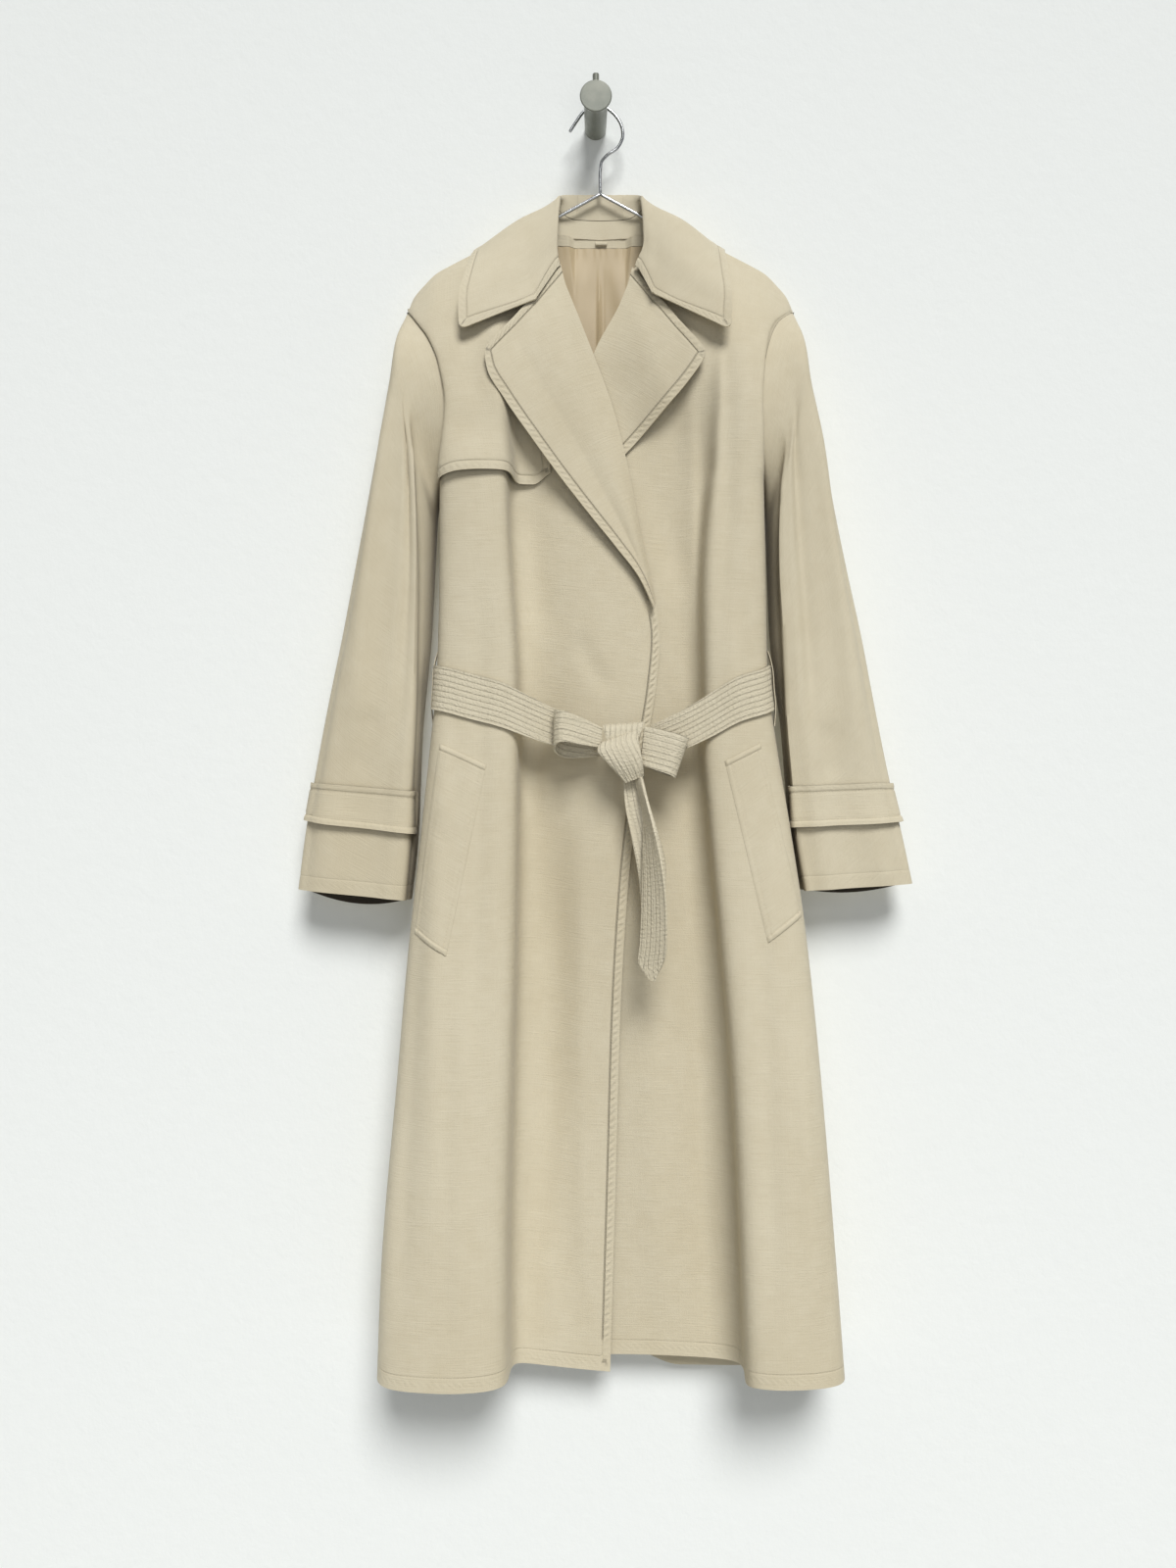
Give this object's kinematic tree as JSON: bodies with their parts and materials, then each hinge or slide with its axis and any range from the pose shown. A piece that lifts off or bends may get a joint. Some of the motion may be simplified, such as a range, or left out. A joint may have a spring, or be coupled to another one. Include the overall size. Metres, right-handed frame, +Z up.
{
  "type": "belted overcoat on wire hanger and wall peg",
  "caption": "Long beige overcoat with notched lapels, storm flap and tied belt, hanging by its shoulders from a wire hanger on a round wall peg.",
  "frame": {"origin": "middle of the peg's flat back, on the wall", "axes": "+Z up, +Y into the wall, +X to the wearer's left, the coat's front faces -Y"},
  "size_m": [0.6372, 0.1284, 1.3425],
  "materials": {
    "coat_cloth": "fine matt gabardine",
    "belt_cloth": "fine matt gabardine, row-stitched",
    "lining": "smooth lining with a soft sheen",
    "hanger_steel": "bright wire",
    "peg_metal": "satin grey"
  },
  "bodies": {
    "root": {"wall_peg": "peg_metal", "hanger": "hanger_steel", "front_right": "coat_cloth", "front_left": "coat_cloth", "back": "coat_cloth", "sleeve_right": "coat_cloth", "sleeve_left": "coat_cloth", "cuff_strap_right": "coat_cloth", "cuff_strap_left": "coat_cloth", "collar_stand": "coat_cloth", "collar_fall": "coat_cloth", "lapel_right": "coat_cloth", "lapel_left": "coat_cloth", "storm_flap": "coat_cloth", "pocket_welt_right": "coat_cloth", "pocket_welt_left": "coat_cloth", "neck_facing": "coat_cloth", "hanging_loop": "coat_cloth", "belt_loop_right": "coat_cloth", "belt_loop_left": "coat_cloth", "back_lining": "lining", "belt_back": "belt_cloth", "belt_front_right": "belt_cloth", "belt_front_left": "belt_cloth", "belt_knot": "belt_cloth", "bow_ear_right": "belt_cloth", "bow_ear_left": "belt_cloth", "belt_tail_rear": "belt_cloth", "belt_tail_front": "belt_cloth"}
  },
  "joints": []
}
